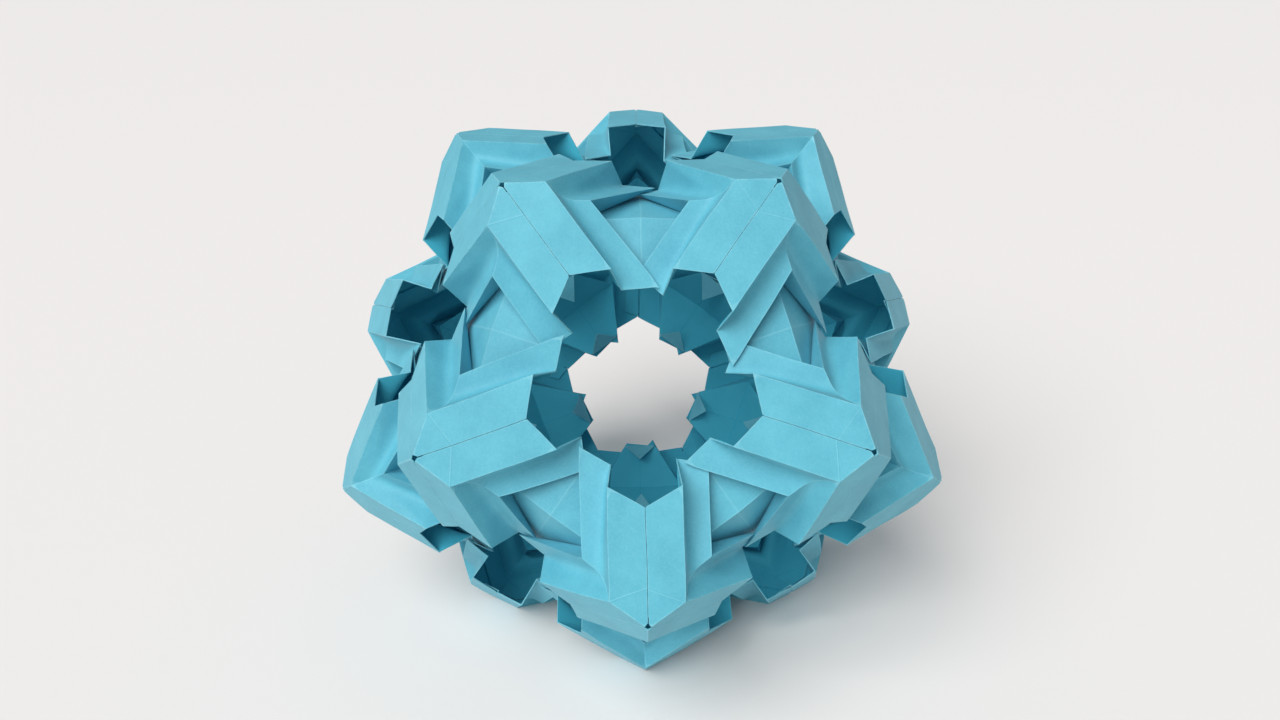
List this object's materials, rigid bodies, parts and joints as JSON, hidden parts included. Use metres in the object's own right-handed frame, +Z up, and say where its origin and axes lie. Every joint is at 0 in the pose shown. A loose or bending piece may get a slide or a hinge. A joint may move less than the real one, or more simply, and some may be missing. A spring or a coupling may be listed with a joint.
{
  "type": "modular origami dodecahedron",
  "caption": "Open dodecahedron of folded paper, one pleated sheet along each edge, with stepped chevron folds and pentagonal openings between the sheets.",
  "frame": {"origin": "centre of the bounding box at the floor the object stands on", "axes": "+Z up through the top pentagon, -Y towards the viewer, +X to the viewer's right"},
  "size_m": [0.1874, 0.1962, 0.1527],
  "materials": {
    "paper": "matt folded paper, turquoise"
  },
  "bodies": {
    "root": {"sheet_top_1": "paper", "sheet_top_2": "paper", "sheet_top_3": "paper", "sheet_top_4": "paper", "sheet_top_5": "paper", "sheet_upper_1": "paper", "sheet_upper_2": "paper", "sheet_upper_3": "paper", "sheet_upper_4": "paper", "sheet_upper_5": "paper", "sheet_belt_1": "paper", "sheet_belt_2": "paper", "sheet_belt_3": "paper", "sheet_belt_4": "paper", "sheet_belt_5": "paper", "sheet_belt_6": "paper", "sheet_belt_7": "paper", "sheet_belt_8": "paper", "sheet_belt_9": "paper", "sheet_belt_10": "paper", "sheet_lower_1": "paper", "sheet_lower_2": "paper", "sheet_lower_3": "paper", "sheet_lower_4": "paper", "sheet_lower_5": "paper", "sheet_base_1": "paper", "sheet_base_2": "paper", "sheet_base_3": "paper", "sheet_base_4": "paper", "sheet_base_5": "paper"}
  },
  "joints": []
}
